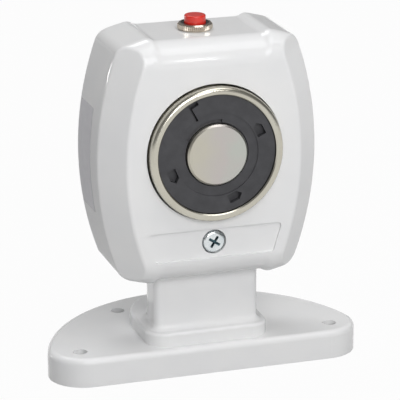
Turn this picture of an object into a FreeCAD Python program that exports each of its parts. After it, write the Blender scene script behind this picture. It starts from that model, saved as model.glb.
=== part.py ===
import FreeCAD, Part
import math
import os

# Floor-standing electromagnetic door holder, in millimetres.
# +Z is up, the pole face looks along -Y, and X = 0 is the mirror plane.
# The origin is on the floor, midway between the pole face and the back of the base.

V = FreeCAD.Vector
X_AXIS = V(1, 0, 0)
Y_AXIS = V(0, 1, 0)
Z_AXIS = V(0, 0, 1)

# Overall places
overall_depth = 74.0
magnet_axis_z = 95.0

# Clearances
fit_clearance = 0.2
shank_clearance = 0.05
running_clearance = 0.25
stop_gap = 0.1
blind_end_gap = 1.0
cut_overrun = 1.0
edge_tolerance = 0.001

# Floor base: a half-round plate, a plinth and a column, moulded in one
base_back_radius = 68.2
base_depth = 69.4
base_thickness = 12.0
base_corner_radius = 15.0
base_edge_radius = 2.5
base_top_wall = 4.0
base_rim = 4.0
base_rib = 2.5
fixing_hole_diameter = 5.8
fixing_boss_diameter = 13.0
front_fixing_spacing = 108.6
front_fixing_inset = 10.2
rear_fixing_spacing = 53.0
rear_fixing_inset = 17.8
plinth_width = 52.2
plinth_height = 5.6
plinth_front_inset = 4.0
plinth_depth = 50.6
plinth_front_corner = 8.0
plinth_back_corner = 24.0
plinth_edge_radius = 1.2
plinth_wall = 4.0
column_width = 44.6
column_front_inset = 9.6
column_depth = 28.3
column_front_corner = 2.8
column_back_corner = 19.0
column_foot_radius = 2.4
duct_diameter = 12.0
pad_width = 32.0
pad_front_inset = 4.0

# Hood
body_center_drop = 4.4
body_width = 92.8
body_depth = 38.7
pole_stand_off = 4.0
side_radius = 133.0
crown_height = 54.2
crown_radius = 117.0
saddle_height = 50.0
hump_band = 8.9
hump_panel_rise = 0.42
saddle_blend_radius = 4.5
hood_corner_radius = 7.0
front_round = 10.0
front_round_steps = 6
bevel_width = 9.8
bevel_edge_radius = 2.0
hood_wall = 2.7
inner_corner_radius = 5.0
recess_depth = 1.0
recess_top_drop = 32.1
recess_bottom_drop = 44.5
recess_top_width = 58.0
recess_bottom_width = 50.6
recess_corner_radius = 1.6
pad_head_room = 0.5

# Cover screw and its post
cover_screw_drop = 38.0
cover_head_diameter = 9.5
cover_head_height = 3.4
cover_shank_diameter = 5.0
cover_shank_length = 14.0
cover_counterbore_gap = 0.4
cover_counterbore_depth = 3.0
cover_boss_wall = 2.6
cover_boss_floor = 2.4
cross_arm_length = 5.4
cross_arm_width = 1.1
cross_depth = 2.0
cross_angle = 57.0
pan_head_round = 0.45
post_diameter = 11.0
insert_diameter = 7.0
insert_length = 9.0

# Back plate
back_plate_thickness = 3.0
magnet_boss_diameter = 22.0
magnet_boss_rib = 2.4
magnet_boss_rib_reach = 8.0
flange_thickness = 4.0
flange_side_gap = 0.6
column_screw_spacing = 21.0
column_shank_diameter = 4.0
column_shank_length = 16.0
column_head_diameter = 7.0
column_head_height = 2.8
column_cross_length = 3.8
column_cross_depth = 1.7

# Magnet
pot_diameter = 56.0
pot_depth = 20.0
pot_bore = 49.6
pot_floor = 5.0
pot_rim_radius = 1.8
pot_bore_chamfer = 0.4
hood_hole_gap = 0.6
core_diameter = 25.3
core_chamfer = 0.7
face_recess = 1.3
bobbin_flange = 3.0
bobbin_rear_flange = 1.5
bobbin_tube = 1.5
bobbin_mouth_gap = 0.7
bobbin_mouth_depth = 1.5
mouth_notch_width = 1.2
mouth_notch_start = 152.0
mouth_notch_sweep = 71.0
face_step_radius = 17.4
face_step_depth = 0.4
pocket_radius = 19.8
pocket_length = 6.0
pocket_point = 1.8
pocket_width = 3.8
pocket_depth = 2.4
pocket_angles = (27.0, 203.0, 293.0)
wire_slot_angle = 119.5
wire_slot_bar = 4.2
wire_slot_bar_width = 1.7
wire_slot_groove = 0.9
wire_slot_rim = 0.6
bolt_diameter = 6.0
bolt_length = 20.0
bolt_head_diameter = 10.0
bolt_head_height = 6.0
bolt_socket_width = 5.0
bolt_socket_depth = 3.2
washer_diameter = 11.0
washer_thickness = 1.6
bolt_well_gap = 1.0

# Push button
button_behind_face = 27.5
button_offset = -0.9
button_travel = 2.0
nut_diameter = 14.4
nut_height = 2.8
nut_serrations = 48
nut_serration_depth = 0.35
nut_chamfer = 0.35
bushing_barrel_diameter = 11.6
bushing_below_nut_top = 0.2
bushing_flange_diameter = 15.0
bushing_flange_height = 1.5
bushing_body_diameter = 13.4
bushing_chamber_diameter = 11.0
lock_ring_thickness = 0.5
cap_diameter = 8.8
cap_above_nut = 3.2
cap_edge_radius = 0.7
collar_height = 1.5
stem_diameter = 4.0
stem_length = 5.0
stem_spigot_diameter = 2.4
stem_spigot_length = 0.6
bridge_thickness = 0.6
bridge_diameter = 8.6
contact_thickness = 0.5
contact_width = 2.4
contact_inner_reach = 3.0
contact_wall_gap = 0.4
lug_length = 5.5
switch_base_thickness = 2.0
spring_wire = 0.5
spring_diameter = 4.6
spring_turns = 4.0
spring_pressed_height = 2.9
spring_seat_diameter = 2.8
spring_seat_height = 1.2

# Terminal board
board_left = 8.5
board_right = 35.5
board_top_drop = 17.0
board_bottom_drop = 46.5
board_thickness = 1.6
standoff_height = 2.1
standoff_diameter = 6.0
board_screw_diameter = 2.5
board_screw_length = 3.9
board_hole_spare = 0.5
board_screw_head = 4.6
board_screw_head_height = 1.8
board_screw_inset = 2.9
block_left = 10.0
block_top_drop = 32.0
block_height = 11.0
block_depth = 14.0
pole_pitch = 5.0
pole_count = 4
pole_well_diameter = 3.7
pole_well_depth = 4.0
pole_screw_diameter = 3.3
pole_screw_height = 2.4
pole_slot_width = 0.6
pole_slot_depth = 0.8
wire_diameter = 1.4
wire_entry_gap = 0.25
wire_entry_depth = 3.5
lead_end_gap = 0.5
wire_plane_behind_face = 27.0
coil_exit_drop = 13.0
coil_exit_gap = 0.5
lead_bend_radius = 5.0
button_lead_slope = 0.43
button_lead_stagger = 2.0
diode_diameter = 2.7
diode_length = 5.2
diode_lead_diameter = 0.8
diode_lead_spacing = 10.0
diode_drop = 24.5

# Planes that several pieces share
pole_face_y = -overall_depth / 2
base_back_y = overall_depth / 2
base_front_y = base_back_y - base_depth
panel_y = pole_face_y + pole_stand_off
body_back_y = panel_y + body_depth
plate_front_y = body_back_y - back_plate_thickness
plate_middle_y = body_back_y - back_plate_thickness / 2
pot_back_y = pole_face_y + pot_depth
body_center_z = magnet_axis_z - body_center_drop
saddle_z = body_center_z + saddle_height
seat_z = body_center_z - saddle_height
inner_top_z = saddle_z - hood_wall
inner_floor_z = seat_z + hood_wall
plinth_top_z = base_thickness + plinth_height
plinth_front_y = base_front_y + plinth_front_inset
column_front_y = base_front_y + column_front_inset
column_back_y = column_front_y + column_depth
pad_front_y = column_front_y + pad_front_inset
recess_y = panel_y + recess_depth
cover_screw_z = magnet_axis_z - cover_screw_drop
counterbore_floor_y = recess_y + cover_counterbore_depth
post_front_y = counterbore_floor_y + cover_boss_floor
button_y = pole_face_y + button_behind_face
duct_y = (pad_front_y + plate_front_y) / 2
flange_top_z = inner_floor_z + flange_thickness
board_back_y = plate_front_y - standoff_height
board_front_y = board_back_y - board_thickness
block_front_y = board_front_y - block_depth
wire_y = pole_face_y + wire_plane_behind_face
block_top_z = magnet_axis_z - block_top_drop
bolt_seat_y = pot_back_y - pot_floor + bolt_length - bolt_diameter - washer_thickness


def box(x0, x1, y0, y1, z0, z1):
    return Part.makeBox(x1 - x0, y1 - y0, z1 - z0, V(x0, y0, z0))


def rod_y(diameter, y0, y1, x=0.0, z=0.0):
    return Part.makeCylinder(diameter / 2, y1 - y0, V(x, y0, z), Y_AXIS)


def rod_z(diameter, z0, z1, x=0.0, y=0.0):
    return Part.makeCylinder(diameter / 2, z1 - z0, V(x, y, z0), Z_AXIS)


def prism(wire, direction):
    return Part.Face(wire).extrude(direction)


def turned(profile, center, axis, across=X_AXIS):
    """Revolve a closed (radius, along) profile about an axis through center."""
    points = [center + across * radius + axis * along for radius, along in profile]
    wire = Part.makePolygon(points + points[:1])
    return Part.Face(wire).revolve(center, axis, 360)


def edges_where(shape, test):
    return [edge for edge in shape.Edges if test(edge)]


def at_height(z):
    return lambda edge: max(abs(edge.BoundBox.ZMin - z), abs(edge.BoundBox.ZMax - z)) < edge_tolerance


def save(name, shape):
    shape.exportStep(os.path.join("parts", name + ".step"))


def arc(center, radius, start, end):
    """Three points of the shorter arc between two points of a circle, in a plane."""
    chord_x = (start[0] + end[0]) / 2 - center[0]
    chord_z = (start[1] + end[1]) / 2 - center[1]
    reach = radius / math.hypot(chord_x, chord_z)
    middle = (center[0] + chord_x * reach, center[1] + chord_z * reach)
    return (start, middle, end)


def circles_meet(first, first_radius, second, second_radius, outer):
    """The meeting point of two circles that lies further along +X (outer) or +Z."""
    dx = second[0] - first[0]
    dz = second[1] - first[1]
    gap = math.hypot(dx, dz)
    along = (gap ** 2 + first_radius ** 2 - second_radius ** 2) / (2 * gap)
    across = math.sqrt(first_radius ** 2 - along ** 2)
    foot = (first[0] + dx * along / gap, first[1] + dz * along / gap)
    both = [(foot[0] + sign * dz * across / gap, foot[1] - sign * dx * across / gap) for sign in (1, -1)]
    return max(both, key=lambda point: point[0] if outer else point[1])


def beyond(center, point, radius):
    """The point of a circle that lies in the direction of another point."""
    length = math.hypot(point[0] - center[0], point[1] - center[1])
    return tuple(center[i] + (point[i] - center[i]) * radius / length for i in (0, 1))


def side_reach(height, inset):
    """Half-width of the hood's bowed side at a height above its middle."""
    return body_width / 2 - side_radius + math.sqrt((side_radius - inset) ** 2 - height ** 2)


saddle_half = side_reach(saddle_height - front_round, bevel_width) - hump_band
side_center = (body_width / 2 - side_radius, 0.0)


def hood_quarter(inset, lower, corner):
    """Outline of the upper right quarter: saddle, blend, hump, corner and bowed side.

    The hump sinks towards the panel, whose top edge is almost straight.
    """
    rise = crown_height - saddle_height
    swell = 1 - (1 - hump_panel_rise / rise) * lower / front_round
    crown = crown_radius / swell
    side = side_radius - inset
    flat = saddle_height - lower
    crown_center = (0.0, flat + rise * swell - crown)
    blend = saddle_blend_radius
    saddle_end = (saddle_half, flat)
    hollow_center = (saddle_half, flat + blend)
    hump_center = circles_meet(crown_center, crown - blend, hollow_center, 2 * blend, True)
    blend_middle = tuple((hollow_center[i] + hump_center[i]) / 2 for i in (0, 1))
    hump_end = beyond(crown_center, hump_center, crown)
    corner_center = circles_meet(crown_center, crown - corner, side_center, side - corner, True)
    corner_start = beyond(crown_center, corner_center, crown)
    corner_end = beyond(side_center, corner_center, side)
    side_end = (side_center[0] + side, 0.0)
    return [
        ((0.0, flat), saddle_end),
        arc(hollow_center, blend, saddle_end, blend_middle),
        arc(hump_center, blend, blend_middle, hump_end),
        arc(crown_center, crown, hump_end, corner_start),
        arc(corner_center, corner, corner_start, corner_end),
        arc(side_center, side, corner_end, side_end),
    ]


def inner_quarter(inset, lower, corner):
    """Outline of the upper right quarter of the hollow: flat top, corner and bowed side."""
    side = side_radius - inset
    flat = saddle_height - lower
    corner_z = flat - corner
    corner_x = side_center[0] + math.sqrt((side - corner) ** 2 - corner_z ** 2)
    corner_center = (corner_x, corner_z)
    corner_start = (corner_x, flat)
    corner_end = beyond(side_center, corner_center, side)
    return [
        ((0.0, flat), corner_start),
        arc(corner_center, corner, corner_start, corner_end),
        arc(side_center, side, corner_end, (side_center[0] + side, 0.0)),
    ]


def mirrored_outline(quarter, y):
    """Closed wire from a quarter outline, mirrored left and down, at a depth y."""
    edges = []
    for sign_x, sign_z, forward in ((1, 1, True), (1, -1, False), (-1, -1, True), (-1, 1, False)):
        for points in quarter if forward else quarter[::-1]:
            ordered = points if forward else points[::-1]
            placed = [V(sign_x * x, y, body_center_z + sign_z * z) for x, z in ordered]
            if len(placed) == 2:
                edges.append(Part.makeLine(*placed))
            else:
                edges.append(Part.Arc(*placed).toShape())
    return Part.Wire(edges)


def bevelled_disc(side, offset):
    """Disc on the bowed side's own circle, with the side bevel turned on its front edge."""
    slope = bevel_width / front_round
    front_radius = side_radius - bevel_width - offset * math.hypot(1, slope)
    back_radius = side_radius + bevel_width
    bevel_end = (back_radius - front_radius) / slope
    back = body_back_y - panel_y
    profile = [(0, 0), (front_radius, 0), (back_radius, bevel_end), (back_radius, back), (0, back)]
    center = V(side * side_center[0], panel_y, body_center_z)
    return turned(profile, center, Y_AXIS, X_AXIS * -side)


def rounded_front(quarter, offset, corner):
    """Body with a rounded top and bottom front edge and straight bevels at the sides.

    The offset shrinks it to the inside of a wall of that thickness.
    """
    round_depth = front_round - offset
    sections = []
    for step in range(front_round_steps + 1):
        turn = math.pi / 2 * step / front_round_steps
        depth = offset + round_depth * (1 - math.cos(turn))
        lower = offset + round_depth * (1 - math.sin(turn))
        sections.append(mirrored_outline(quarter(offset, lower, corner), panel_y + depth))
    nose = Part.makeLoft(sections, True, False)
    straight = prism(sections[-1], V(0, body_back_y - panel_y - front_round, 0))
    body = nose.fuse(straight).removeSplitter()
    for side in (-1, 1):
        body = body.common(bevelled_disc(side, offset))
    return body.removeSplitter()


def half_round(front_y, depth, front_corner, back_radius, z):
    """D-shaped wire: straight front, round front corners and one arc round the back."""
    back_center = (0.0, front_y + depth - back_radius)
    corner_y = front_y + front_corner
    corner_x = math.sqrt((back_radius - front_corner) ** 2 - (corner_y - back_center[1]) ** 2)
    corner = (corner_x, corner_y)
    corner_end = beyond(back_center, corner, back_radius)
    front_arc = arc(corner, front_corner, (corner_x, front_y), corner_end)
    right = [V(x, y, z) for x, y in front_arc]
    left = [V(-x, y, z) for x, y in front_arc]
    edges = [
        Part.makeLine(left[0], right[0]),
        Part.Arc(*right).toShape(),
        Part.Arc(right[2], V(0, front_y + depth, z), left[2]).toShape(),
        Part.Arc(*left[::-1]).toShape(),
    ]
    return Part.Wire(edges)


def rounded_block(front_y, width, depth, front_corner, back_corner, z):
    """Rectangle wire with small front corners and large back corners."""
    half = width / 2
    back_y = front_y + depth
    quarter_turn = 1 - math.sqrt(0.5)
    front_mid = front_corner * quarter_turn
    back_mid = back_corner * quarter_turn
    right = [
        V(half - front_corner, front_y, z),
        V(half - front_mid, front_y + front_mid, z),
        V(half, front_y + front_corner, z),
        V(half, back_y - back_corner, z),
        V(half - back_mid, back_y - back_mid, z),
        V(half - back_corner, back_y, z),
    ]
    left = [V(-point.x, point.y, point.z) for point in right]
    edges = [
        Part.makeLine(left[0], right[0]),
        Part.Arc(right[0], right[1], right[2]).toShape(),
        Part.makeLine(right[2], right[3]),
        Part.Arc(right[3], right[4], right[5]).toShape(),
        Part.makeLine(right[5], left[5]),
        Part.Arc(left[5], left[4], left[3]).toShape(),
        Part.makeLine(left[3], left[2]),
        Part.Arc(left[2], left[1], left[0]).toShape(),
    ]
    return Part.Wire(edges)


def plinth_wire(z, inset=0.0):
    return rounded_block(plinth_front_y + inset, plinth_width - 2 * inset, plinth_depth - 2 * inset,
                         plinth_front_corner - inset, plinth_back_corner - inset, z)


def column_wire(z, grow=0.0):
    return rounded_block(column_front_y - grow, column_width + 2 * grow, column_depth + 2 * grow,
                         column_front_corner + grow, column_back_corner + grow, z)


def base_wire(z, inset=0.0):
    return half_round(base_front_y + inset, base_depth - 2 * inset, base_corner_radius - inset,
                      base_back_radius - inset, z)


fixing_places = []
for spacing, place_y in ((front_fixing_spacing, base_front_y + front_fixing_inset),
                         (rear_fixing_spacing, base_back_y - rear_fixing_inset)):
    for side in (-1, 1):
        fixing_places.append((side * spacing / 2, place_y))

column_screw_places = [(side * column_screw_spacing / 2, duct_y) for side in (-1, 1)]


def make_floor_base():
    plate = prism(base_wire(0.0), V(0, 0, base_thickness))
    plate = plate.makeFillet(base_edge_radius, edges_where(plate, at_height(base_thickness)))
    plinth = prism(plinth_wire(base_thickness / 2), V(0, 0, plinth_top_z - base_thickness / 2))
    plinth = plinth.makeFillet(plinth_edge_radius, edges_where(plinth, at_height(plinth_top_z)))
    column = prism(column_wire(base_thickness), V(0, 0, seat_z - base_thickness))
    body = plate.fuse(plinth).fuse(column).removeSplitter()
    column_foot = edges_where(
        body, lambda edge: at_height(plinth_top_z)(edge)
        and max(-edge.BoundBox.XMin, edge.BoundBox.XMax) < column_width / 2 + edge_tolerance
        and edge.BoundBox.YMin > column_front_y - edge_tolerance
        and edge.BoundBox.YMax < column_back_y + edge_tolerance)
    body = body.makeFillet(column_foot_radius, column_foot)
    cavity = prism(base_wire(0.0, base_rim), V(0, 0, base_thickness - base_top_wall))
    ribs = [box(-base_back_radius, base_back_radius, duct_y - base_rib / 2, duct_y + base_rib / 2,
                0.0, base_thickness)]
    for x in (-plinth_width / 2, plinth_width / 2):
        ribs.append(box(x - base_rib / 2, x + base_rib / 2, base_front_y, base_back_y, 0.0, base_thickness))
    for x, y in fixing_places:
        ribs.append(rod_z(fixing_boss_diameter, 0.0, base_thickness, x, y))
    body = body.cut(cavity.cut(Part.makeCompound(ribs)))
    duct_sleeve = rod_z(duct_diameter + 2 * plinth_wall, 0.0, plinth_top_z, 0.0, duct_y)
    hollow = prism(plinth_wire(0.0, plinth_wall), V(0, 0, plinth_top_z - plinth_wall))
    cross_rib = box(-plinth_width / 2, plinth_width / 2, duct_y - base_rib / 2, duct_y + base_rib / 2,
                    0.0, plinth_top_z)
    body = body.cut(hollow.cut(duct_sleeve).cut(cross_rib))
    pad = box(-pad_width / 2, pad_width / 2, pad_front_y, plate_front_y, seat_z, inner_floor_z)
    pad = pad.common(prism(column_wire(seat_z), V(0, 0, hood_wall)))
    body = body.fuse(pad).removeSplitter()
    cuts = [rod_z(duct_diameter, 0.0, inner_floor_z, 0.0, duct_y)]
    for x, y in fixing_places:
        cuts.append(rod_z(fixing_hole_diameter, 0.0, base_thickness, x, y))
    hole_bottom = inner_floor_z - column_shank_length
    for x, y in column_screw_places:
        cuts.append(rod_z(column_shank_diameter + 2 * shank_clearance, hole_bottom, inner_floor_z, x, y))
    for cutter in cuts:
        body = body.cut(cutter)
    return body


def pan_head(diameter, height, center, axis):
    """Low domed screw head, flat underneath, standing along the axis."""
    head = Part.makeCylinder(diameter / 2, height, center, axis)
    top = center + axis * height
    rim = [e for e in head.Edges
           if e.Curve.TypeId == "Part::GeomCircle" and (e.Curve.Center - top).Length < edge_tolerance]
    return head.makeFillet(height * pan_head_round, rim)


def cross_recess(center, axis, across, arm_length, arm_width, depth):
    """Two crossed slots that open at center and run down against the axis."""
    arms = []
    other = axis.cross(across)
    for long_way, short_way in ((across, other), (other, across)):
        corner = center - long_way * (arm_length / 2) - short_way * (arm_width / 2)
        points = [corner, corner + long_way * arm_length,
                  corner + long_way * arm_length + short_way * arm_width, corner + short_way * arm_width]
        arms.append(prism(Part.makePolygon(points + points[:1]), axis * -depth))
    return arms[0].fuse(arms[1])


def make_column_screws():
    screws = []
    for x, y in column_screw_places:
        head = pan_head(column_head_diameter, column_head_height, V(x, y, flange_top_z), Z_AXIS)
        tip_z = inner_floor_z - column_shank_length + blind_end_gap
        shank = rod_z(column_shank_diameter, tip_z, flange_top_z, x, y)
        top = V(x, y, flange_top_z + column_head_height)
        recess = cross_recess(top, Z_AXIS, X_AXIS, column_cross_length, cross_arm_width, column_cross_depth)
        screws.append(head.fuse(shank).removeSplitter().cut(recess))
    return Part.makeCompound(screws)


def trapezoid_recess():
    """The shallow sunk field below the magnet, with rounded corners."""
    top = magnet_axis_z - recess_top_drop
    bottom = magnet_axis_z - recess_bottom_drop
    corners = [V(-recess_top_width / 2, panel_y, top), V(recess_top_width / 2, panel_y, top),
               V(recess_bottom_width / 2, panel_y, bottom), V(-recess_bottom_width / 2, panel_y, bottom)]
    field = prism(Part.makePolygon(corners + corners[:1]), V(0, recess_depth, 0))
    uprights = edges_where(field, lambda edge: edge.BoundBox.YLength > recess_depth / 2
                           and max(edge.BoundBox.XLength, edge.BoundBox.ZLength) < edge_tolerance)
    field = field.makeFillet(recess_corner_radius, uprights)
    in_front = field.copy()
    in_front.translate(V(0, -recess_depth, 0))
    return field.fuse(in_front)


def make_housing_hood():
    outer = rounded_front(hood_quarter, 0.0, hood_corner_radius)
    bevels = [face for face in outer.Faces if face.Surface.TypeId == "Part::GeomCone"]
    outer = outer.makeFillet(bevel_edge_radius, [edge for face in bevels for edge in face.OuterWire.Edges])
    hood = outer.cut(rounded_front(inner_quarter, hood_wall, inner_corner_radius))
    counterbore = cover_head_diameter + 2 * cover_counterbore_gap
    boss_diameter = counterbore + 2 * cover_boss_wall
    screw_boss = rod_y(boss_diameter, panel_y + hood_wall / 2, post_front_y, 0.0, cover_screw_z)
    hood = hood.fuse(screw_boss)
    hood = hood.cut(trapezoid_recess())
    cuts = [
        rod_y(counterbore, panel_y, counterbore_floor_y, 0.0, cover_screw_z),
        rod_y(cover_shank_diameter + 2 * fit_clearance, panel_y, post_front_y, 0.0, cover_screw_z),
        rod_y(pot_diameter + 2 * hood_hole_gap, panel_y - cut_overrun, pot_back_y, 0.0, magnet_axis_z),
        rod_z(bushing_barrel_diameter + 2 * fit_clearance, inner_top_z - cut_overrun, saddle_z + cut_overrun,
              button_offset, button_y),
        prism(column_wire(seat_z - hood_wall, fit_clearance), V(0, 0, hood_wall)),
        box(-pad_width / 2 - fit_clearance, pad_width / 2 + fit_clearance,
            pad_front_y - fit_clearance, body_back_y + cut_overrun,
            seat_z - hood_wall, inner_floor_z + pad_head_room),
    ]
    for cutter in cuts:
        hood = hood.cut(cutter)
    return hood.removeSplitter()


def make_back_plate():
    inset = hood_wall + fit_clearance
    quarter = inner_quarter(inset, inset, inner_corner_radius - fit_clearance)
    plate = prism(mirrored_outline(quarter, plate_front_y), V(0, back_plate_thickness, 0))
    lip = box(-pad_width / 2, pad_width / 2, plate_front_y, body_back_y,
              seat_z, inner_floor_z + back_plate_thickness)
    flange_half = pad_width / 2 - flange_side_gap
    flange = box(-flange_half, flange_half, pad_front_y, plate_middle_y, inner_floor_z, flange_top_z)
    boss = rod_y(magnet_boss_diameter, pot_back_y, plate_middle_y, 0.0, magnet_axis_z)
    reach = magnet_boss_diameter / 2 + magnet_boss_rib_reach
    rib_half = magnet_boss_rib / 2
    rib_front = (pot_back_y + plate_front_y) / 2
    cross_ribs = [
        box(-reach, reach, rib_front, plate_middle_y, magnet_axis_z - rib_half, magnet_axis_z + rib_half),
        box(-rib_half, rib_half, rib_front, plate_middle_y, magnet_axis_z - reach, magnet_axis_z),
    ]
    post = rod_y(post_diameter, post_front_y, plate_middle_y, 0.0, cover_screw_z)
    plate = plate.fuse([lip, flange, boss, post] + cross_ribs)
    for x, z in board_screw_places:
        plate = plate.fuse(rod_y(standoff_diameter, board_back_y, plate_middle_y, x, z))
    plate = plate.removeSplitter()
    cuts = [
        rod_y(bolt_diameter + 2 * fit_clearance, pot_back_y, body_back_y, 0.0, magnet_axis_z),
        rod_y(washer_diameter + 2 * bolt_well_gap, bolt_seat_y, body_back_y, 0.0, magnet_axis_z),
        rod_y(insert_diameter, post_front_y, post_front_y + insert_length, 0.0, cover_screw_z),
        rod_y(cover_shank_diameter + 2 * fit_clearance, post_front_y,
              counterbore_floor_y + cover_shank_length + blind_end_gap, 0.0, cover_screw_z),
        rod_z(duct_diameter, inner_floor_z, flange_top_z, 0.0, duct_y),
    ]
    for x, y in column_screw_places:
        cuts.append(rod_z(column_shank_diameter + 2 * fit_clearance, inner_floor_z, flange_top_z, x, y))
    for x, z in board_screw_places:
        cuts.append(rod_y(board_screw_diameter + 2 * shank_clearance, board_back_y,
                          board_front_y + board_screw_length + board_hole_spare, x, z))
    for cutter in cuts:
        plate = plate.cut(cutter)
    return plate


def make_cover_screw():
    seat = V(0, counterbore_floor_y, cover_screw_z)
    toward_front = Y_AXIS * -1
    head = pan_head(cover_head_diameter, cover_head_height, seat, toward_front)
    shank = rod_y(cover_shank_diameter, counterbore_floor_y, counterbore_floor_y + cover_shank_length,
                  0.0, cover_screw_z)
    turn = math.radians(cross_angle)
    across = V(math.cos(turn), 0, math.sin(turn))
    top = seat + toward_front * cover_head_height
    recess = cross_recess(top, toward_front, across, cross_arm_length, cross_arm_width, cross_depth)
    return head.fuse(shank).removeSplitter().cut(recess)


def make_screw_insert():
    sleeve = rod_y(insert_diameter, post_front_y, post_front_y + insert_length, 0.0, cover_screw_z)
    bore = rod_y(cover_shank_diameter + 2 * shank_clearance, post_front_y, post_front_y + insert_length,
                 0.0, cover_screw_z)
    return sleeve.cut(bore)


coil_exit_places = [(block_left + pole_pitch / 2 + pole * pole_pitch, magnet_axis_z - coil_exit_drop)
                    for pole in (0, 1)]


def make_magnet_pot():
    center = V(0, pole_face_y, magnet_axis_z)
    outer = rod_y(pot_diameter, pole_face_y, pot_back_y, 0.0, magnet_axis_z)
    rims = edges_where(outer, lambda edge: abs(edge.BoundBox.YMax - pole_face_y) < edge_tolerance)
    outer = outer.makeFillet(pot_rim_radius, rims)
    bore = pot_bore / 2
    floor = pot_depth - pot_floor
    mouth = bore + pot_bore_chamfer
    well = turned([(0, -cut_overrun), (mouth, -cut_overrun), (mouth, 0),
                   (bore, pot_bore_chamfer), (bore, floor), (0, floor)], center, Y_AXIS)
    pot = outer.cut(well)
    pot = pot.cut(rod_y(bolt_diameter + 2 * fit_clearance, pole_face_y, pot_back_y, 0.0, magnet_axis_z))
    for x, z in coil_exit_places:
        pot = pot.cut(rod_y(wire_diameter + 2 * coil_exit_gap, pole_face_y, pot_back_y, x, z))
    return pot


def make_magnet_core():
    center = V(0, pole_face_y, magnet_axis_z)
    radius = core_diameter / 2
    floor = pot_depth - pot_floor
    core = turned([(0, 0), (radius - core_chamfer, 0), (radius, core_chamfer), (radius, floor), (0, floor)],
                  center, Y_AXIS)
    thread = rod_y(bolt_diameter + 2 * shank_clearance, bolt_tip_y - blind_end_gap, pot_back_y,
                   0.0, magnet_axis_z)
    return core.cut(thread)


bolt_tip_y = bolt_seat_y - bolt_length + washer_thickness


def house_pocket(angle):
    """Five-sided pocket in the coil's face, its point along the rim."""
    end = pocket_length / 2
    shoulder = end - pocket_point
    half_width = pocket_width / 2
    outline = [(half_width, -end), (half_width, shoulder), (0, end),
               (-half_width, shoulder), (-half_width, -end)]
    face_y = pole_face_y + face_recess
    points = [V(pocket_radius + across, face_y, along) for across, along in outline]
    cutter = prism(Part.makePolygon(points + points[:1]), V(0, pocket_depth, 0))
    cutter.translate(V(0, 0, magnet_axis_z))
    cutter.rotate(V(0, 0, magnet_axis_z), Y_AXIS, -angle)
    return cutter


def wire_slot():
    """Slot for the winding's wire: a radial groove, and a bar to one side of it at the rim."""
    face_y = pole_face_y + face_recess
    outer = pot_bore / 2 - fit_clearance - wire_slot_rim
    bar = box(outer - wire_slot_bar_width, outer, face_y, face_y + pocket_depth,
              wire_slot_groove / 2 - wire_slot_bar, wire_slot_groove / 2)
    groove = box(face_step_radius - wire_slot_groove, outer, face_y, face_y + pocket_depth,
                 -wire_slot_groove / 2, wire_slot_groove / 2)
    cutter = bar.fuse(groove)
    cutter.translate(V(0, 0, magnet_axis_z))
    cutter.rotate(V(0, 0, magnet_axis_z), Y_AXIS, -wire_slot_angle)
    return cutter


bobbin_tube_inner = core_diameter / 2 + fit_clearance
bobbin_tube_outer = bobbin_tube_inner + bobbin_tube
bobbin_outer = pot_bore / 2 - fit_clearance


mouth_radius = core_diameter / 2 + bobbin_mouth_gap


def mouth_notch():
    """Stretch of the bobbin's mouth that is wider than the rest."""
    center = V(0, pole_face_y, magnet_axis_z)
    inner = core_diameter / 2
    outer = mouth_radius + mouth_notch_width
    floor = face_recess + bobbin_mouth_depth
    points = [center + X_AXIS * radius + Y_AXIS * along
              for radius, along in ((inner, 0), (outer, 0), (outer, floor), (inner, floor))]
    cutter = Part.Face(Part.makePolygon(points + points[:1])).revolve(center, Y_AXIS, mouth_notch_sweep)
    cutter.rotate(center, Y_AXIS, -mouth_notch_start)
    return cutter


def make_coil_bobbin():
    center = V(0, pole_face_y, magnet_axis_z)
    front = face_recess
    back = pot_depth - pot_floor
    profile = [
        (mouth_radius, front + face_step_depth), (face_step_radius, front + face_step_depth),
        (face_step_radius, front), (bobbin_outer, front), (bobbin_outer, front + bobbin_flange),
        (bobbin_tube_outer, front + bobbin_flange), (bobbin_tube_outer, back - bobbin_rear_flange),
        (bobbin_outer, back - bobbin_rear_flange), (bobbin_outer, back), (bobbin_tube_inner, back),
        (bobbin_tube_inner, front + bobbin_mouth_depth), (mouth_radius, front + bobbin_mouth_depth),
    ]
    bobbin = turned(profile, center, Y_AXIS)
    for angle in pocket_angles:
        bobbin = bobbin.cut(house_pocket(angle))
    return bobbin.cut(wire_slot()).cut(mouth_notch())


def make_coil_winding():
    center = V(0, pole_face_y, magnet_axis_z)
    front = face_recess + bobbin_flange
    back = pot_depth - pot_floor - bobbin_rear_flange
    inner = bobbin_tube_outer + shank_clearance
    outer = bobbin_outer - 2 * fit_clearance
    return turned([(inner, front), (outer, front), (outer, back), (inner, back)], center, Y_AXIS)


def make_core_bolt():
    head_y = bolt_seat_y + washer_thickness
    head = rod_y(bolt_head_diameter, head_y, head_y + bolt_head_height, 0.0, magnet_axis_z)
    shank = rod_y(bolt_diameter, bolt_tip_y, head_y, 0.0, magnet_axis_z)
    corner = bolt_socket_width / math.sqrt(3)
    socket_y = head_y + bolt_head_height - bolt_socket_depth
    points = [V(corner * math.cos(math.radians(60 * i)), socket_y,
                magnet_axis_z + corner * math.sin(math.radians(60 * i))) for i in range(6)]
    socket = prism(Part.makePolygon(points + points[:1]), V(0, bolt_socket_depth, 0))
    return head.fuse(shank).removeSplitter().cut(socket)


def make_lock_washer():
    ring = rod_y(washer_diameter, bolt_seat_y, bolt_seat_y + washer_thickness, 0.0, magnet_axis_z)
    return ring.cut(rod_y(bolt_diameter + 2 * fit_clearance, bolt_seat_y, bolt_seat_y + washer_thickness,
                          0.0, magnet_axis_z))


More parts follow.
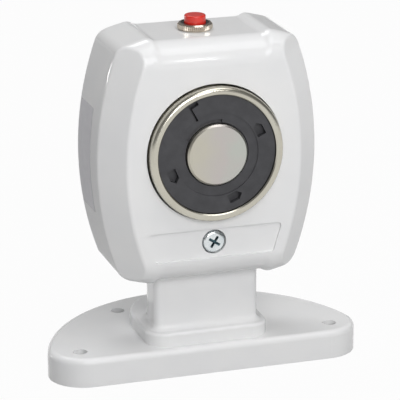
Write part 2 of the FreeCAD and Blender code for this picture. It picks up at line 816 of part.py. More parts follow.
nut_top_z = saddle_z + nut_height
flange_high_z = inner_top_z - lock_ring_thickness
shoulder_z = flange_high_z - bushing_flange_height
collar_top_z = shoulder_z - stop_gap
collar_bottom_z = collar_top_z - collar_height
bridge_top_z = collar_bottom_z - stem_length + bridge_thickness
bridge_bottom_z = bridge_top_z - bridge_thickness
switch_base_top_z = bridge_bottom_z - button_travel - spring_pressed_height
chamber_bottom_z = switch_base_top_z - switch_base_thickness
lug_bottom_z = chamber_bottom_z - lug_length
contact_outer = bushing_chamber_diameter / 2 - contact_wall_gap
cap_bore = cap_diameter + 2 * running_clearance


def button_rod(diameter, z0, z1):
    return rod_z(diameter, z0, z1, button_offset, button_y)


def either_side(side, near, far):
    """Left and right X of a stretch that lies on one side of the button's axis."""
    return sorted((button_offset + side * near, button_offset + side * far))


def make_button_nut():
    outer = nut_diameter / 2
    inner = outer - nut_serration_depth
    center = V(button_offset, button_y, saddle_z)
    points = []
    for i in range(2 * nut_serrations):
        radius = outer if i % 2 == 0 else inner
        turn = math.pi * i / nut_serrations
        points.append(center + V(radius * math.cos(turn), radius * math.sin(turn), 0))
    body = prism(Part.makePolygon(points + points[:1]), V(0, 0, nut_height))
    rim = outer - nut_serration_depth - nut_chamfer
    wide = outer + nut_chamfer
    slope = wide - rim
    profile = [(0, 0), (rim, 0), (wide, slope), (wide, nut_height - slope), (rim, nut_height),
               (0, nut_height)]
    body = body.common(turned(profile, center, Z_AXIS))
    return body.cut(button_rod(bushing_barrel_diameter + 2 * shank_clearance, saddle_z, nut_top_z))


def make_button_bushing():
    center = V(button_offset, button_y, 0)
    bore = cap_bore / 2
    barrel = bushing_barrel_diameter / 2
    top = nut_top_z - bushing_below_nut_top
    chamber = bushing_chamber_diameter / 2
    profile = [
        (bore, top), (barrel, top), (barrel, flange_high_z), (bushing_flange_diameter / 2, flange_high_z),
        (bushing_flange_diameter / 2, shoulder_z), (bushing_body_diameter / 2, shoulder_z),
        (bushing_body_diameter / 2, chamber_bottom_z), (chamber, chamber_bottom_z), (chamber, shoulder_z),
        (bore, shoulder_z),
    ]
    return turned(profile, center, Z_AXIS)


def make_button_lock_ring():
    ring = button_rod(bushing_flange_diameter, flange_high_z, inner_top_z)
    return ring.cut(button_rod(bushing_barrel_diameter + 2 * fit_clearance, flange_high_z, inner_top_z))


def make_button_cap():
    top = nut_top_z + cap_above_nut
    collar = bushing_chamber_diameter / 2 - running_clearance
    stem_bottom = bridge_top_z
    spigot_bottom = bridge_bottom_z - stem_spigot_length
    profile = [
        (0, top), (cap_diameter / 2, top), (cap_diameter / 2, collar_top_z), (collar, collar_top_z),
        (collar, collar_bottom_z), (stem_diameter / 2, collar_bottom_z), (stem_diameter / 2, stem_bottom),
        (stem_spigot_diameter / 2, stem_bottom), (stem_spigot_diameter / 2, spigot_bottom),
        (0, spigot_bottom),
    ]
    cap = turned(profile, V(button_offset, button_y, 0), Z_AXIS)
    return cap.makeFillet(cap_edge_radius, edges_where(cap, at_height(top)))


def make_contact_bridge():
    disc = button_rod(bridge_diameter, bridge_bottom_z, bridge_top_z)
    return disc.cut(button_rod(stem_spigot_diameter + 2 * shank_clearance, bridge_bottom_z, bridge_top_z))


def make_switch_base():
    disc = button_rod(bushing_chamber_diameter - 2 * shank_clearance, chamber_bottom_z, switch_base_top_z)
    seat = button_rod(spring_seat_diameter, switch_base_top_z, switch_base_top_z + spring_seat_height)
    base = disc.fuse(seat)
    gap = shank_clearance
    half_width = contact_width / 2 + gap
    for side in (-1, 1):
        left, right = either_side(side, contact_outer - contact_thickness - gap, contact_outer + gap)
        base = base.cut(box(left, right, button_y - half_width, button_y + half_width,
                            chamber_bottom_z, switch_base_top_z))
    return base.removeSplitter()


def make_contact_terminals():
    lip_bottom = bridge_top_z + stop_gap
    strips = []
    for side in (-1, 1):
        leg_x = either_side(side, contact_outer - contact_thickness, contact_outer)
        lip_x = either_side(side, contact_inner_reach, contact_outer)
        front = button_y - contact_width / 2
        back = button_y + contact_width / 2
        leg = box(leg_x[0], leg_x[1], front, back, lug_bottom_z, lip_bottom + contact_thickness)
        lip = box(lip_x[0], lip_x[1], front, back, lip_bottom, lip_bottom + contact_thickness)
        strips.append(leg.fuse(lip).removeSplitter())
    return Part.makeCompound(strips)


def make_button_spring():
    wire_half = spring_wire / 2
    bottom = switch_base_top_z + wire_half + shank_clearance
    height = bridge_bottom_z - wire_half - shank_clearance - bottom
    mean = spring_diameter / 2 - wire_half
    helix = Part.makeLongHelix(height / spring_turns, height, mean)
    profile = Part.Wire(Part.Circle(V(mean, 0, 0), Y_AXIS, wire_half).toShape())
    coil = Part.Wire(helix.Edges).makePipeShell([profile], True, True)
    coil.translate(V(button_offset, button_y, bottom))
    return coil


board_screw_places = [
    (board_left + board_screw_inset, magnet_axis_z - board_top_drop - board_screw_inset),
    (board_right - board_screw_inset, magnet_axis_z - board_bottom_drop + board_screw_inset),
]
pole_places = [block_left + pole_pitch / 2 + pole * pole_pitch for pole in range(pole_count)]
block_right = block_left + pole_count * pole_pitch
pole_z = block_top_z - block_height / 2


def make_terminal_board():
    board = box(board_left, board_right, board_front_y, board_back_y,
                magnet_axis_z - board_bottom_drop, magnet_axis_z - board_top_drop)
    for x, z in board_screw_places:
        board = board.cut(rod_y(board_screw_diameter + 2 * fit_clearance, board_front_y, board_back_y, x, z))
    return board


def make_terminal_block():
    block_bottom_z = block_top_z - block_height
    block = box(block_left, block_right, block_front_y, board_front_y, block_bottom_z, block_top_z)
    entry = wire_diameter + 2 * wire_entry_gap
    for x in pole_places:
        well_floor_y = block_front_y + pole_well_depth
        block = block.cut(rod_y(pole_well_diameter, block_front_y, well_floor_y, x, pole_z))
        block = block.cut(rod_z(entry, block_top_z - wire_entry_depth, block_top_z, x, wire_y))
        block = block.cut(rod_z(entry, block_bottom_z, block_bottom_z + wire_entry_depth, x, wire_y))
    return block


def make_terminal_screws():
    screws = []
    floor_y = block_front_y + pole_well_depth
    top_y = floor_y - pole_screw_height
    for x in pole_places:
        head = rod_y(pole_screw_diameter, top_y, floor_y, x, pole_z)
        slot = box(x - pole_screw_diameter, x + pole_screw_diameter, top_y, top_y + pole_slot_depth,
                   pole_z - pole_slot_width / 2, pole_z + pole_slot_width / 2)
        screws.append(head.cut(slot))
    return Part.makeCompound(screws)


def make_board_screws():
    screws = []
    for x, z in board_screw_places:
        head = pan_head(board_screw_head, board_screw_head_height, V(x, board_front_y, z), Y_AXIS * -1)
        shank = rod_y(board_screw_diameter, board_front_y, board_front_y + board_screw_length, x, z)
        screws.append(head.fuse(shank).removeSplitter())
    return Part.makeCompound(screws)


def bent_wire(points, diameter, bend):
    """Round wire along straight runs joined by tangent arcs."""
    edges = []
    start = points[0]
    for before, corner, after in zip(points, points[1:], points[2:]):
        back = (before - corner).normalize()
        ahead = (after - corner).normalize()
        half_turn = back.getAngle(ahead) / 2
        reach = bend / math.tan(half_turn)
        bisector = (back + ahead).normalize()
        middle = corner + bisector * (bend / math.sin(half_turn) - bend)
        arc_start = corner + back * reach
        arc_end = corner + ahead * reach
        edges.append(Part.makeLine(start, arc_start))
        edges.append(Part.Arc(arc_start, middle, arc_end).toShape())
        start = arc_end
    edges.append(Part.makeLine(start, points[-1]))
    path = Part.Wire(edges)
    first = (points[1] - points[0]).normalize()
    profile = Part.Wire(Part.Circle(points[0], first, diameter / 2).toShape())
    return path.makePipeShell([profile], True, False)


lead_end_z = block_top_z - wire_entry_depth + lead_end_gap


def make_coil_leads():
    start_y = pot_back_y - pot_floor
    leads = []
    for x, z in coil_exit_places:
        leads.append(bent_wire([V(x, start_y, z), V(x, wire_y, z), V(x, wire_y, lead_end_z)],
                               wire_diameter, lead_bend_radius))
    return Part.makeCompound(leads)


def make_button_leads():
    lug_x = contact_outer - contact_thickness / 2
    turn_in = magnet_axis_z + magnet_boss_diameter / 2 + lead_bend_radius
    leads = []
    for side, pole_x, lift in ((1, pole_places[3], button_lead_stagger), (-1, pole_places[2], 0.0)):
        lug = button_offset + side * lug_x
        start_turn = turn_in + lift
        end_turn = start_turn - button_lead_slope * (pole_x - lug)
        leads.append(bent_wire([V(lug, button_y, lug_bottom_z), V(lug, button_y, start_turn),
                                V(pole_x, wire_y, end_turn), V(pole_x, wire_y, lead_end_z)],
                               wire_diameter, lead_bend_radius / 2))
    return Part.makeCompound(leads)


def make_suppressor_diode():
    center_x = (board_left + board_right) / 2
    center_z = magnet_axis_z - diode_drop
    axis_y = board_front_y - diode_diameter / 2
    body = Part.makeCylinder(diode_diameter / 2, diode_length,
                             V(center_x - diode_length / 2, axis_y, center_z), X_AXIS)
    lead_radius = diode_lead_diameter / 2
    half = diode_lead_spacing / 2
    rail = Part.makeCylinder(lead_radius, diode_lead_spacing, V(center_x - half, axis_y, center_z), X_AXIS)
    legs = [rod_y(diode_lead_diameter, axis_y, board_front_y, center_x + side * half, center_z)
            for side in (-1, 1)]
    elbows = [Part.makeSphere(lead_radius, V(center_x + side * half, axis_y, center_z)) for side in (-1, 1)]
    return body.fuse([rail] + legs + elbows).removeSplitter()


os.makedirs("parts", exist_ok=True)

save("floor_base", make_floor_base())
save("column_screws", make_column_screws())
save("housing_hood", make_housing_hood())
save("back_plate", make_back_plate())
save("cover_screw", make_cover_screw())
save("screw_insert", make_screw_insert())
save("magnet_pot", make_magnet_pot())
save("magnet_core", make_magnet_core())
save("coil_bobbin", make_coil_bobbin())
save("coil_winding", make_coil_winding())
save("core_bolt", make_core_bolt())
save("lock_washer", make_lock_washer())
save("button_nut", make_button_nut())
save("button_bushing", make_button_bushing())
save("button_lock_ring", make_button_lock_ring())
save("button_cap", make_button_cap())
save("contact_bridge", make_contact_bridge())
save("switch_base", make_switch_base())
save("contact_terminals", make_contact_terminals())
save("button_spring", make_button_spring())
save("terminal_board", make_terminal_board())
save("terminal_block", make_terminal_block())
save("terminal_screws", make_terminal_screws())
save("board_screws", make_board_screws())
save("coil_leads", make_coil_leads())
save("button_leads", make_button_leads())
save("suppressor_diode", make_suppressor_diode())
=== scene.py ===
import math

import bmesh
import bpy
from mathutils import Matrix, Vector


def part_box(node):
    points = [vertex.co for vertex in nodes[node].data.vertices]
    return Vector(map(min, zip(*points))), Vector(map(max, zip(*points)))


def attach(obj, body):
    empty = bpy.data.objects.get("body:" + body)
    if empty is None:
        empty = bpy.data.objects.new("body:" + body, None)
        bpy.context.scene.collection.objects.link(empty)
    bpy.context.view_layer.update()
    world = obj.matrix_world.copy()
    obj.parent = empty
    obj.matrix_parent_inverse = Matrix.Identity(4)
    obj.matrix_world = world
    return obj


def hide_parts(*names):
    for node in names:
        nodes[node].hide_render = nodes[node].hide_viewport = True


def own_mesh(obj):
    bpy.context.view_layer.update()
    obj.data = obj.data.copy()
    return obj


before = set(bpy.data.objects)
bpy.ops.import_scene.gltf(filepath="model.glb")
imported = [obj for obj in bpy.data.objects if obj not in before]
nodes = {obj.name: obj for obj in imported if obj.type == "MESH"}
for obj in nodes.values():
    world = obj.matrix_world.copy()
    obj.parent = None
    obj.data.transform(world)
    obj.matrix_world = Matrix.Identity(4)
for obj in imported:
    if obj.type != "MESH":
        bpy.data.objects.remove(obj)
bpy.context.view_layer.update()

scene = bpy.context.scene

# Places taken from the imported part, in metres
hood_low, hood_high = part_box("housing_hood")
pot_low, pot_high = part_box("magnet_pot")
nut_low, nut_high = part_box("button_nut")
screw_low, screw_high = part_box("cover_screw")
core_low, core_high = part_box("magnet_core")
pole_face_center = Vector((0.0, pot_low.y, (pot_low.z + pot_high.z) / 2))
core_radius = (core_high.x - core_low.x) / 2
hood_middle_z = (hood_low.z + hood_high.z) / 2
nut_axis = Vector(((nut_low.x + nut_high.x) / 2, (nut_low.y + nut_high.y) / 2, nut_low.z))
screw_axis = Vector(((screw_low.x + screw_high.x) / 2, screw_low.y, (screw_low.z + screw_high.z) / 2))

# Bowed sides of the hood, with a fine matt texture behind the bevels
hood_side_radius = 0.133
left_bow_x = hood_low.x + hood_side_radius
right_bow_x = hood_high.x - hood_side_radius
bevel_edge_y = -0.0223
matt_edge_width = 0.0002
matt_full_depth = 0.00003
matt_end_depth = 0.00008
matt_roughness = 0.38
matt_specular = 0.1
gloss_specular = 0.5

# Painted shade: the cover screw's cross recess darkened to stand in for the shade inside it
recess_shade_reach = 0.0027
recess_shade_start_depth = 0.0003
recess_shade_full_depth = 0.0010
recess_shade_color = (0.06, 0.11, 0.13, 1.0)

# Blank label on the left side of the hood
label_front_y = -0.0130
label_back_y = 0.0044
label_top_z = 0.1120
label_bottom_z = 0.0680
label_corner = 0.0008
label_corner_segments = 4
label_thickness = 0.00012
label_rows = 24

# Push button
spring_merge_distance = 1e-7

# Part of a 0 to 1 pattern over which two tones blend
tone_start = 0.3
tone_end = 0.7

# Studio floor and surround
floor_half_size = 6.0
floor_paper = (0.42, 0.42, 0.42, 1.0)
floor_white_share = 0.965
surround_left = 0.24
surround_right = 0.17
surround_reach = 0.9
white = (1.0, 1.0, 1.0, 1.0)

# Camera: the photograph's viewing angle
camera_from_pole_face = Vector((-0.29295, -0.87957, 0.28253))
camera_yaw_deg = 17.97
camera_dip_deg = 18.0
camera_lens_mm = 218.57
camera_sensor_mm = 36.0


def add_node(tree, kind, inputs=None, **settings):
    """New shader node; inputs maps its sockets to values or to other nodes' outputs."""
    node = tree.nodes.new(kind)
    for name, value in settings.items():
        setattr(node, name, value)
    for name, value in (inputs or {}).items():
        if isinstance(value, bpy.types.NodeSocket):
            tree.links.new(value, node.inputs[name])
        else:
            node.inputs[name].default_value = value
    return node


def math_node(tree, operation, *values):
    """Result of a maths operation on two or three values."""
    return add_node(tree, "ShaderNodeMath", dict(enumerate(values)), operation=operation).outputs[0]


def axis_part(tree, vector, axis):
    """One of a vector's three parts."""
    return add_node(tree, "ShaderNodeSeparateXYZ", {"Vector": vector}).outputs[axis]


def spread(tree, fac, low, high):
    """A 0 to 1 pattern mapped to a range."""
    return add_node(tree, "ShaderNodeMapRange",
                    {"Value": fac, "To Min": low, "To Max": high}).outputs["Result"]


def fade(tree, value, start, end):
    """0 up to start, then rising to 1 at end."""
    return add_node(tree, "ShaderNodeMapRange",
                    {"Value": value, "From Min": start, "From Max": end}).outputs["Result"]


def placed(tree, center=(0, 0, 0), scale=(1, 1, 1)):
    """Object coordinates measured from a centre, stretched along the axes."""
    coords = add_node(tree, "ShaderNodeTexCoord")
    shift = add_node(tree, "ShaderNodeVectorMath", {0: coords.outputs["Object"], 1: tuple(center)},
                     operation="SUBTRACT")
    return add_node(tree, "ShaderNodeVectorMath", {0: shift.outputs[0], 1: tuple(scale)},
                    operation="MULTIPLY").outputs[0]


def axis_distance(tree, center, across):
    """Distance from an axis through center; across marks the two axes to measure in."""
    return add_node(tree, "ShaderNodeVectorMath", {0: placed(tree, center, across)},
                    operation="LENGTH").outputs["Value"]


def noise(tree, vector, scale, detail=3.0):
    """Cloudy 0 to 1 pattern."""
    return add_node(tree, "ShaderNodeTexNoise",
                    {"Vector": vector, "Scale": scale, "Detail": detail}).outputs["Fac"]


def turned_rings(tree, center, across, rings_per_metre):
    """Lathe marks: a pattern that depends only on the distance from the axis."""
    return add_node(tree, "ShaderNodeTexNoise",
                    {"W": axis_distance(tree, center, across), "Scale": rings_per_metre, "Detail": 2.0},
                    noise_dimensions="1D").outputs["Fac"]


def ramp(tree, fac, *stops):
    """Colour ramp from (position, colour) stops."""
    node = add_node(tree, "ShaderNodeValToRGB", {"Fac": fac})
    elements = node.color_ramp.elements
    while len(elements) < len(stops):
        elements.new(0.5)
    for element, (position, color) in zip(elements, stops):
        element.position = position
        element.color = (*color, 1.0)
    return node.outputs["Color"]


def two_tone(tree, fac, low, high):
    """Two colours blended over the middle of a pattern."""
    return ramp(tree, fac, (tone_start, low), (tone_end, high))


def start_material(name, **shader_values):
    """Material with a Principled shader; underscores in the names stand for spaces."""
    material = bpy.data.materials.new(name)
    material.use_nodes = True
    tree = material.node_tree
    shader = tree.nodes["Principled BSDF"]
    for socket, value in shader_values.items():
        shader.inputs[socket.replace("_", " ")].default_value = value
    return material, tree, shader


def set_finish(tree, shader, color, roughness):
    """Feed the shader its colour and its roughness."""
    tree.links.new(color, shader.inputs["Base Color"])
    tree.links.new(roughness, shader.inputs["Roughness"])


def add_bump(tree, shader, height, strength, distance):
    """Fine relief from a pattern."""
    bump = add_node(tree, "ShaderNodeBump", {"Height": height, "Strength": strength, "Distance": distance})
    tree.links.new(bump.outputs["Normal"], shader.inputs["Normal"])


def white_moulding(name):
    """Glossy white plastic with a light orange peel."""
    material, tree, shader = start_material(name, IOR=1.36, Subsurface_Weight=0.15, Subsurface_Scale=0.001,
                                            Subsurface_Radius=(1.0, 1.0, 1.0))
    here = placed(tree)
    tone = noise(tree, here, scale=45.0, detail=2.0)
    color = two_tone(tree, tone, low=(0.795, 0.798, 0.805), high=(0.825, 0.825, 0.825))
    gloss = spread(tree, noise(tree, here, scale=160.0), low=0.07, high=0.11)
    set_finish(tree, shader, color, gloss)
    add_bump(tree, shader, noise(tree, here, scale=420.0, detail=2.0), strength=0.06, distance=0.0002)
    return material


def hood_moulding():
    """White moulding with a fine matt texture on the hood's bowed sides."""
    material = white_moulding("white_hood_moulding")
    tree = material.node_tree
    shader = tree.nodes["Principled BSDF"]
    gloss = shader.inputs["Roughness"].links[0].from_socket
    left, right = (axis_distance(tree, (bow_x, 0.0, hood_middle_z), across=(1, 0, 1))
                   for bow_x in (left_bow_x, right_bow_x))
    wall = fade(tree, math_node(tree, "MAXIMUM", left, right),
                start=hood_side_radius - matt_end_depth, end=hood_side_radius - matt_full_depth)
    behind = fade(tree, axis_part(tree, placed(tree), "Y"),
                  start=bevel_edge_y, end=bevel_edge_y + matt_edge_width)
    matt = math_node(tree, "MULTIPLY", wall, behind)
    tree.links.new(math_node(tree, "MULTIPLY_ADD", matt, matt_roughness, gloss), shader.inputs["Roughness"])
    tree.links.new(spread(tree, matt, gloss_specular, matt_specular), shader.inputs["Specular IOR Level"])
    return material


def nickel_plate():
    """Warm nickel on the magnet's outer pole, turned on a lathe."""
    material, tree, shader = start_material("nickel_plated_pole", Metallic=1.0)
    tone = noise(tree, placed(tree), scale=90.0, detail=2.0)
    color = two_tone(tree, tone, low=(0.53, 0.505, 0.43), high=(0.57, 0.55, 0.475))
    rings = turned_rings(tree, pole_face_center, across=(1, 0, 1), rings_per_metre=5000.0)
    set_finish(tree, shader, color, spread(tree, rings, low=0.18, high=0.30))
    add_bump(tree, shader, rings, strength=0.08, distance=0.00005)
    return material


def ground_core():
    """Ground and passivated steel, its tint drifting from left to right."""
    material, tree, shader = start_material("passivated_ground_core", Metallic=1.0)
    left_edge = pole_face_center - Vector((core_radius, 0.0, 0.0))
    sideways = axis_part(tree, placed(tree, left_edge, scale=(0.5 / core_radius, 1.0, 1.0)), "X")
    cloud = spread(tree, noise(tree, placed(tree), scale=130.0, detail=2.0), low=-0.35, high=0.35)
    color = ramp(tree, math_node(tree, "ADD", sideways, cloud),
                 (0.10, (0.53, 0.505, 0.43)), (0.45, (0.52, 0.495, 0.455)),
                 (0.60, (0.52, 0.485, 0.465)), (0.90, (0.495, 0.51, 0.47)))
    upright = placed(tree, pole_face_center, scale=(1.0, 1.0, 0.06))
    grain = noise(tree, upright, scale=2600.0, detail=4.0)
    set_finish(tree, shader, color, spread(tree, grain, low=0.30, high=0.46))
    add_bump(tree, shader, grain, strength=0.10, distance=0.00004)
    return material


def dark_moulding(name, low, high, roughness):
    """Filled plastic with a mottled tone and a dull grain."""
    material, tree, shader = start_material(name, IOR=1.48)
    here = placed(tree)
    color = two_tone(tree, noise(tree, here, scale=220.0, detail=4.0), low, high)
    dullness = spread(tree, noise(tree, here, scale=500.0), low=roughness - 0.06, high=roughness + 0.08)
    set_finish(tree, shader, color, dullness)
    add_bump(tree, shader, noise(tree, here, scale=2200.0), strength=0.12, distance=0.00006)
    return material


def red_cap():
    """Glossy red plastic of the button."""
    material, tree, shader = start_material("red_button_plastic", IOR=1.5, Coat_Weight=0.3,
                                            Coat_Roughness=0.06)
    tone = noise(tree, placed(tree), scale=180.0, detail=2.0)
    color = two_tone(tree, tone, low=(0.68, 0.027, 0.016), high=(0.76, 0.041, 0.025))
    rings = turned_rings(tree, nut_axis, across=(1, 1, 0), rings_per_metre=2500.0)
    set_finish(tree, shader, color, spread(tree, rings, low=0.16, high=0.26))
    add_bump(tree, shader, rings, strength=0.05, distance=0.00005)
    return material


def plated_metal(name, low, high, roughness, patch_scale):
    """Plated steel or brass: patchy tone, streaked gloss and a fine grain."""
    material, tree, shader = start_material(name, Metallic=1.0)
    color = two_tone(tree, noise(tree, placed(tree), scale=patch_scale), low, high)
    streaks = noise(tree, placed(tree, scale=(1.0, 0.2, 1.0)), scale=3000.0)
    set_finish(tree, shader, color, spread(tree, streaks, low=roughness - 0.05, high=roughness + 0.10))
    add_bump(tree, shader, streaks, strength=0.06, distance=0.00004)
    return material


def zinc_screw_with_painted_recess_shade():
    """Zinc plate with painted shade darkening the cross recess."""
    material = plated_metal("zinc_screw_painted_recess_shade", (0.62, 0.67, 0.69), (0.76, 0.79, 0.80), roughness=0.24,
                            patch_scale=260.0)
    tree = material.node_tree
    shader = tree.nodes["Principled BSDF"]
    plate = shader.inputs["Base Color"].links[0].from_socket
    # Painted shade: the plate is darkened inside the cross recess, further in than the start depth and
    # close to the screw's axis
    below = fade(tree, axis_part(tree, placed(tree, screw_axis), "Y"), recess_shade_start_depth, recess_shade_full_depth)
    near = math_node(tree, "LESS_THAN", axis_distance(tree, screw_axis, across=(1, 0, 1)), recess_shade_reach)
    recess_shade_mask = math_node(tree, "MULTIPLY", below, near)
    mixed = add_node(tree, "ShaderNodeMix", {"Factor": recess_shade_mask}, data_type="RGBA")
    tree.links.new(plate, mixed.inputs["A"])
    mixed.inputs["B"].default_value = recess_shade_color
    tree.links.new(mixed.outputs["Result"], shader.inputs["Base Color"])
    return material


def wound_copper():
    """Enamelled wire, turn by turn along the coil."""
    material, tree, shader = start_material("enamelled_copper_turns", Metallic=0.85, Coat_Weight=0.4)
    turns = add_node(tree, "ShaderNodeTexWave", {"Vector": placed(tree), "Scale": 340.0, "Distortion": 0.6,
                                                 "Detail": 1.0, "Detail Scale": 40.0},
                     bands_direction="Y", wave_profile="SIN").outputs["Fac"]
    color = ramp(tree, turns, (0.0, (0.30, 0.11, 0.045)), (0.5, (0.62, 0.27, 0.12)),
                 (1.0, (0.74, 0.37, 0.19)))
    gloss = spread(tree, noise(tree, placed(tree), scale=400.0), low=0.28, high=0.42)
    set_finish(tree, shader, color, gloss)
    add_bump(tree, shader, turns, strength=0.5, distance=0.0002)
    return material


def circuit_board():
    """Green board with the glass weave showing in its gloss."""
    material, tree, shader = start_material("green_circuit_board", IOR=1.5)
    weave = add_node(tree, "ShaderNodeTexChecker", {"Vector": placed(tree), "Scale": 2400.0}).outputs["Fac"]
    tone = noise(tree, placed(tree), scale=130.0)
    color = two_tone(tree, tone, low=(0.030, 0.135, 0.055), high=(0.045, 0.190, 0.085))
    set_finish(tree, shader, color, spread(tree, weave, low=0.30, high=0.40))
    add_bump(tree, shader, weave, strength=0.10, distance=0.00003)
    return material


def label_film():
    """Silver label film."""
    material, tree, shader = start_material("blank_silver_label", IOR=1.45)
    here = placed(tree)
    tone = noise(tree, here, scale=300.0)
    color = two_tone(tree, tone, low=(0.50, 0.495, 0.525), high=(0.54, 0.535, 0.56))
    set_finish(tree, shader, color, spread(tree, noise(tree, here, scale=900.0), low=0.38, high=0.48))
    add_bump(tree, shader, noise(tree, here, scale=1500.0, detail=2.0), strength=0.05, distance=0.00004)
    return material


def finish_nodes():
    """Give every CAD node its finish."""
    moulding = white_moulding("white_gloss_moulding")
    zinc = plated_metal("blue_zinc_plate", (0.60, 0.645, 0.67), (0.72, 0.75, 0.765), roughness=0.26,
                        patch_scale=260.0)
    nickel = plated_metal("warm_nickel_nut", (0.58, 0.51, 0.43), (0.72, 0.65, 0.56), roughness=0.18,
                          patch_scale=300.0)
    brass = plated_metal("bare_brass", (0.62, 0.43, 0.14), (0.74, 0.55, 0.22), roughness=0.30,
                         patch_scale=240.0)
    spring = plated_metal("bright_spring_wire", (0.52, 0.52, 0.52), (0.64, 0.63, 0.62), roughness=0.26,
                          patch_scale=300.0)
    bobbin = dark_moulding("charcoal_bobbin_plastic", (0.034, 0.034, 0.038), (0.050, 0.050, 0.055),
                           roughness=0.46)
    black = dark_moulding("black_switch_plastic", (0.014, 0.014, 0.015), (0.024, 0.024, 0.026),
                          roughness=0.34)
    grey = dark_moulding("grey_terminal_plastic", (0.27, 0.29, 0.30), (0.34, 0.36, 0.37), roughness=0.42)
    jacket = dark_moulding("black_wire_jacket", (0.018, 0.018, 0.019), (0.030, 0.030, 0.032),
                           roughness=0.50)
    finishes = {
        "floor_base": moulding, "housing_hood": hood_moulding(), "back_plate": moulding,
        "magnet_pot": nickel_plate(), "magnet_core": ground_core(), "coil_bobbin": bobbin,
        "coil_winding": wound_copper(), "button_cap": red_cap(), "button_nut": nickel,
        "button_bushing": black, "switch_base": black, "suppressor_diode": black,
        "cover_screw": zinc_screw_with_painted_recess_shade(), "column_screws": zinc, "core_bolt": zinc, "lock_washer": zinc,
        "button_lock_ring": zinc, "terminal_screws": zinc, "board_screws": zinc,
        "screw_insert": brass, "contact_bridge": brass, "contact_terminals": brass,
        "button_spring": spring, "terminal_board": circuit_board(), "terminal_block": grey,
        "coil_leads": jacket, "button_leads": jacket,
    }
    for name, node in nodes.items():
        node.data.materials.clear()
        node.data.materials.append(finishes[name])


def mesh_object(name, mesh_builder, material):
    """Object at the origin whose place is in its mesh."""
    mesh = bpy.data.meshes.new(name)
    mesh_builder.to_mesh(mesh)
    mesh_builder.free()
    piece = bpy.data.objects.new(name, mesh)
    piece.data.materials.append(material)
    scene.collection.objects.link(piece)
    return piece


def make_side_label():
    """Thin blank label that follows the bow of the hood's left side."""
    builder = bmesh.new()
    bmesh.ops.create_grid(builder, x_segments=2, y_segments=label_rows, size=0.5)
    middle_y = (label_front_y + label_back_y) / 2
    middle_z = (label_top_z + label_bottom_z) / 2
    corners = [v for v in builder.verts if len(v.link_edges) == 2]
    for vert in builder.verts:
        vert.co = Vector((0.0, middle_y - vert.co.x * (label_back_y - label_front_y),
                          middle_z + vert.co.y * (label_top_z - label_bottom_z)))
    bmesh.ops.bevel(builder, geom=corners, offset=label_corner, segments=label_corner_segments, profile=0.5,
                    affect="VERTICES", material=-1)
    for vert in builder.verts:
        rise = vert.co.z - hood_middle_z
        vert.co.x = left_bow_x - math.sqrt(hood_side_radius ** 2 - rise ** 2)
    bmesh.ops.recalc_face_normals(builder, faces=builder.faces)
    if sum(face.normal.x for face in builder.faces) > 0:
        bmesh.ops.reverse_faces(builder, faces=builder.faces)
    bmesh.ops.solidify(builder, geom=builder.faces[:], thickness=-label_thickness)
    label = mesh_object("side_label", builder, label_film())
    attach(label, "housing")


def make_return_spring():
    """The button's return spring as a smooth-shaded copy of the CAD spring, fixed to the housing; it is not
    made to shorten here as the button goes down.
    """
    builder = bmesh.new()
    builder.from_mesh(nodes["button_spring"].data)
    bmesh.ops.remove_doubles(builder, verts=builder.verts, dist=spring_merge_distance)
    for face in builder.faces:
        face.smooth = True
    spring = mesh_object("return_spring", builder, nodes["button_spring"].data.materials[0])
    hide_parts("button_spring")
    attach(spring, "housing")
    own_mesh(spring)


def make_floor():
    """Plain pale floor that shows white and keeps the object's soft shadow."""
    builder = bmesh.new()
    bmesh.ops.create_grid(builder, x_segments=1, y_segments=1, size=floor_half_size)
    material = bpy.data.materials.new("pale_studio_floor")
    material.use_nodes = True
    tree = material.node_tree
    tree.nodes.clear()
    path = add_node(tree, "ShaderNodeLightPath").outputs
    seen = math_node(tree, "MAXIMUM", path["Is Camera Ray"], path["Is Glossy Ray"])
    seen = math_node(tree, "MAXIMUM", seen, path["Is Transmission Ray"])
    share = math_node(tree, "MULTIPLY", seen, floor_white_share)
    paper = add_node(tree, "ShaderNodeBsdfDiffuse", {"Color": floor_paper}).outputs[0]
    glow = add_node(tree, "ShaderNodeEmission", {"Color": white, "Strength": 1.0}).outputs[0]
    mix = add_node(tree, "ShaderNodeMixShader", {0: share, 1: paper, 2: glow}).outputs[0]
    add_node(tree, "ShaderNodeOutputMaterial", {"Surface": mix})
    floor = mesh_object("studio_floor", builder, material)


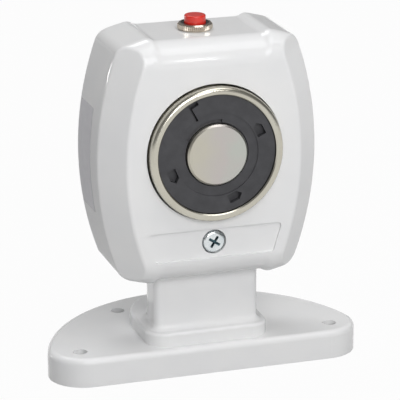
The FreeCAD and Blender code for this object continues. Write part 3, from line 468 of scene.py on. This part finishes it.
def make_world():
    """Soft surround, darker to the right."""
    world = bpy.data.worlds.new("soft_studio")
    scene.world = world
    world.use_nodes = True
    tree = world.node_tree
    sideways = axis_part(tree, add_node(tree, "ShaderNodeTexCoord").outputs["Generated"], "X")
    level = add_node(tree, "ShaderNodeMapRange",
                     {"Value": sideways, "From Min": -surround_reach, "From Max": surround_reach,
                      "To Min": surround_left, "To Max": surround_right}).outputs["Result"]
    surround = tree.nodes["Background"]
    surround.inputs["Color"].default_value = white
    tree.links.new(level, surround.inputs["Strength"])


def make_softbox(name, way, distance, size, watts):
    """Area light out along a direction from the pole face, turned back to it."""
    light = bpy.data.lights.new(name, "AREA")
    light.shape = "RECTANGLE"
    light.size, light.size_y = size
    light.energy = watts
    lamp = bpy.data.objects.new(name, light)
    away = Vector(way).normalized()
    lamp.location = pole_face_center + away * distance
    lamp.rotation_euler = away.to_track_quat("Z", "Y").to_euler()
    scene.collection.objects.link(lamp)


def make_camera():
    """Camera where the photograph was taken from."""
    lens = bpy.data.cameras.new("photo_camera")
    lens.sensor_width = camera_sensor_mm
    lens.lens = camera_lens_mm
    camera = bpy.data.objects.new("photo_camera", lens)
    camera.location = pole_face_center + camera_from_pole_face
    camera.rotation_euler = (math.radians(90.0 - camera_dip_deg), 0.0, math.radians(-camera_yaw_deg))
    scene.collection.objects.link(camera)
    scene.camera = camera


scene.view_settings.view_transform = "Standard"
finish_nodes()
make_side_label()
make_return_spring()
make_floor()
make_world()
make_softbox("front_key", way=(-0.06, -0.90, 0.42), distance=0.70, size=(0.40, 0.46), watts=3.0)
make_softbox("overhead_softbox", way=(0.22, -0.32, 0.92), distance=1.2, size=(0.80, 0.66), watts=4.5)
make_softbox("rear_fill", way=(-0.06, 0.56, 0.82), distance=1.3, size=(0.60, 0.40), watts=5.0)
# The strip draws the line on the left bevel's edge, the catch light the spot on the top rounding
make_softbox("left_strip", way=(-0.70, 0.71, 0.04), distance=1.2, size=(0.30, 0.07), watts=1.8)
make_softbox("catch_light", way=(0.276, -0.855, 0.440), distance=0.489, size=(0.022, 0.090), watts=0.08)
make_camera()
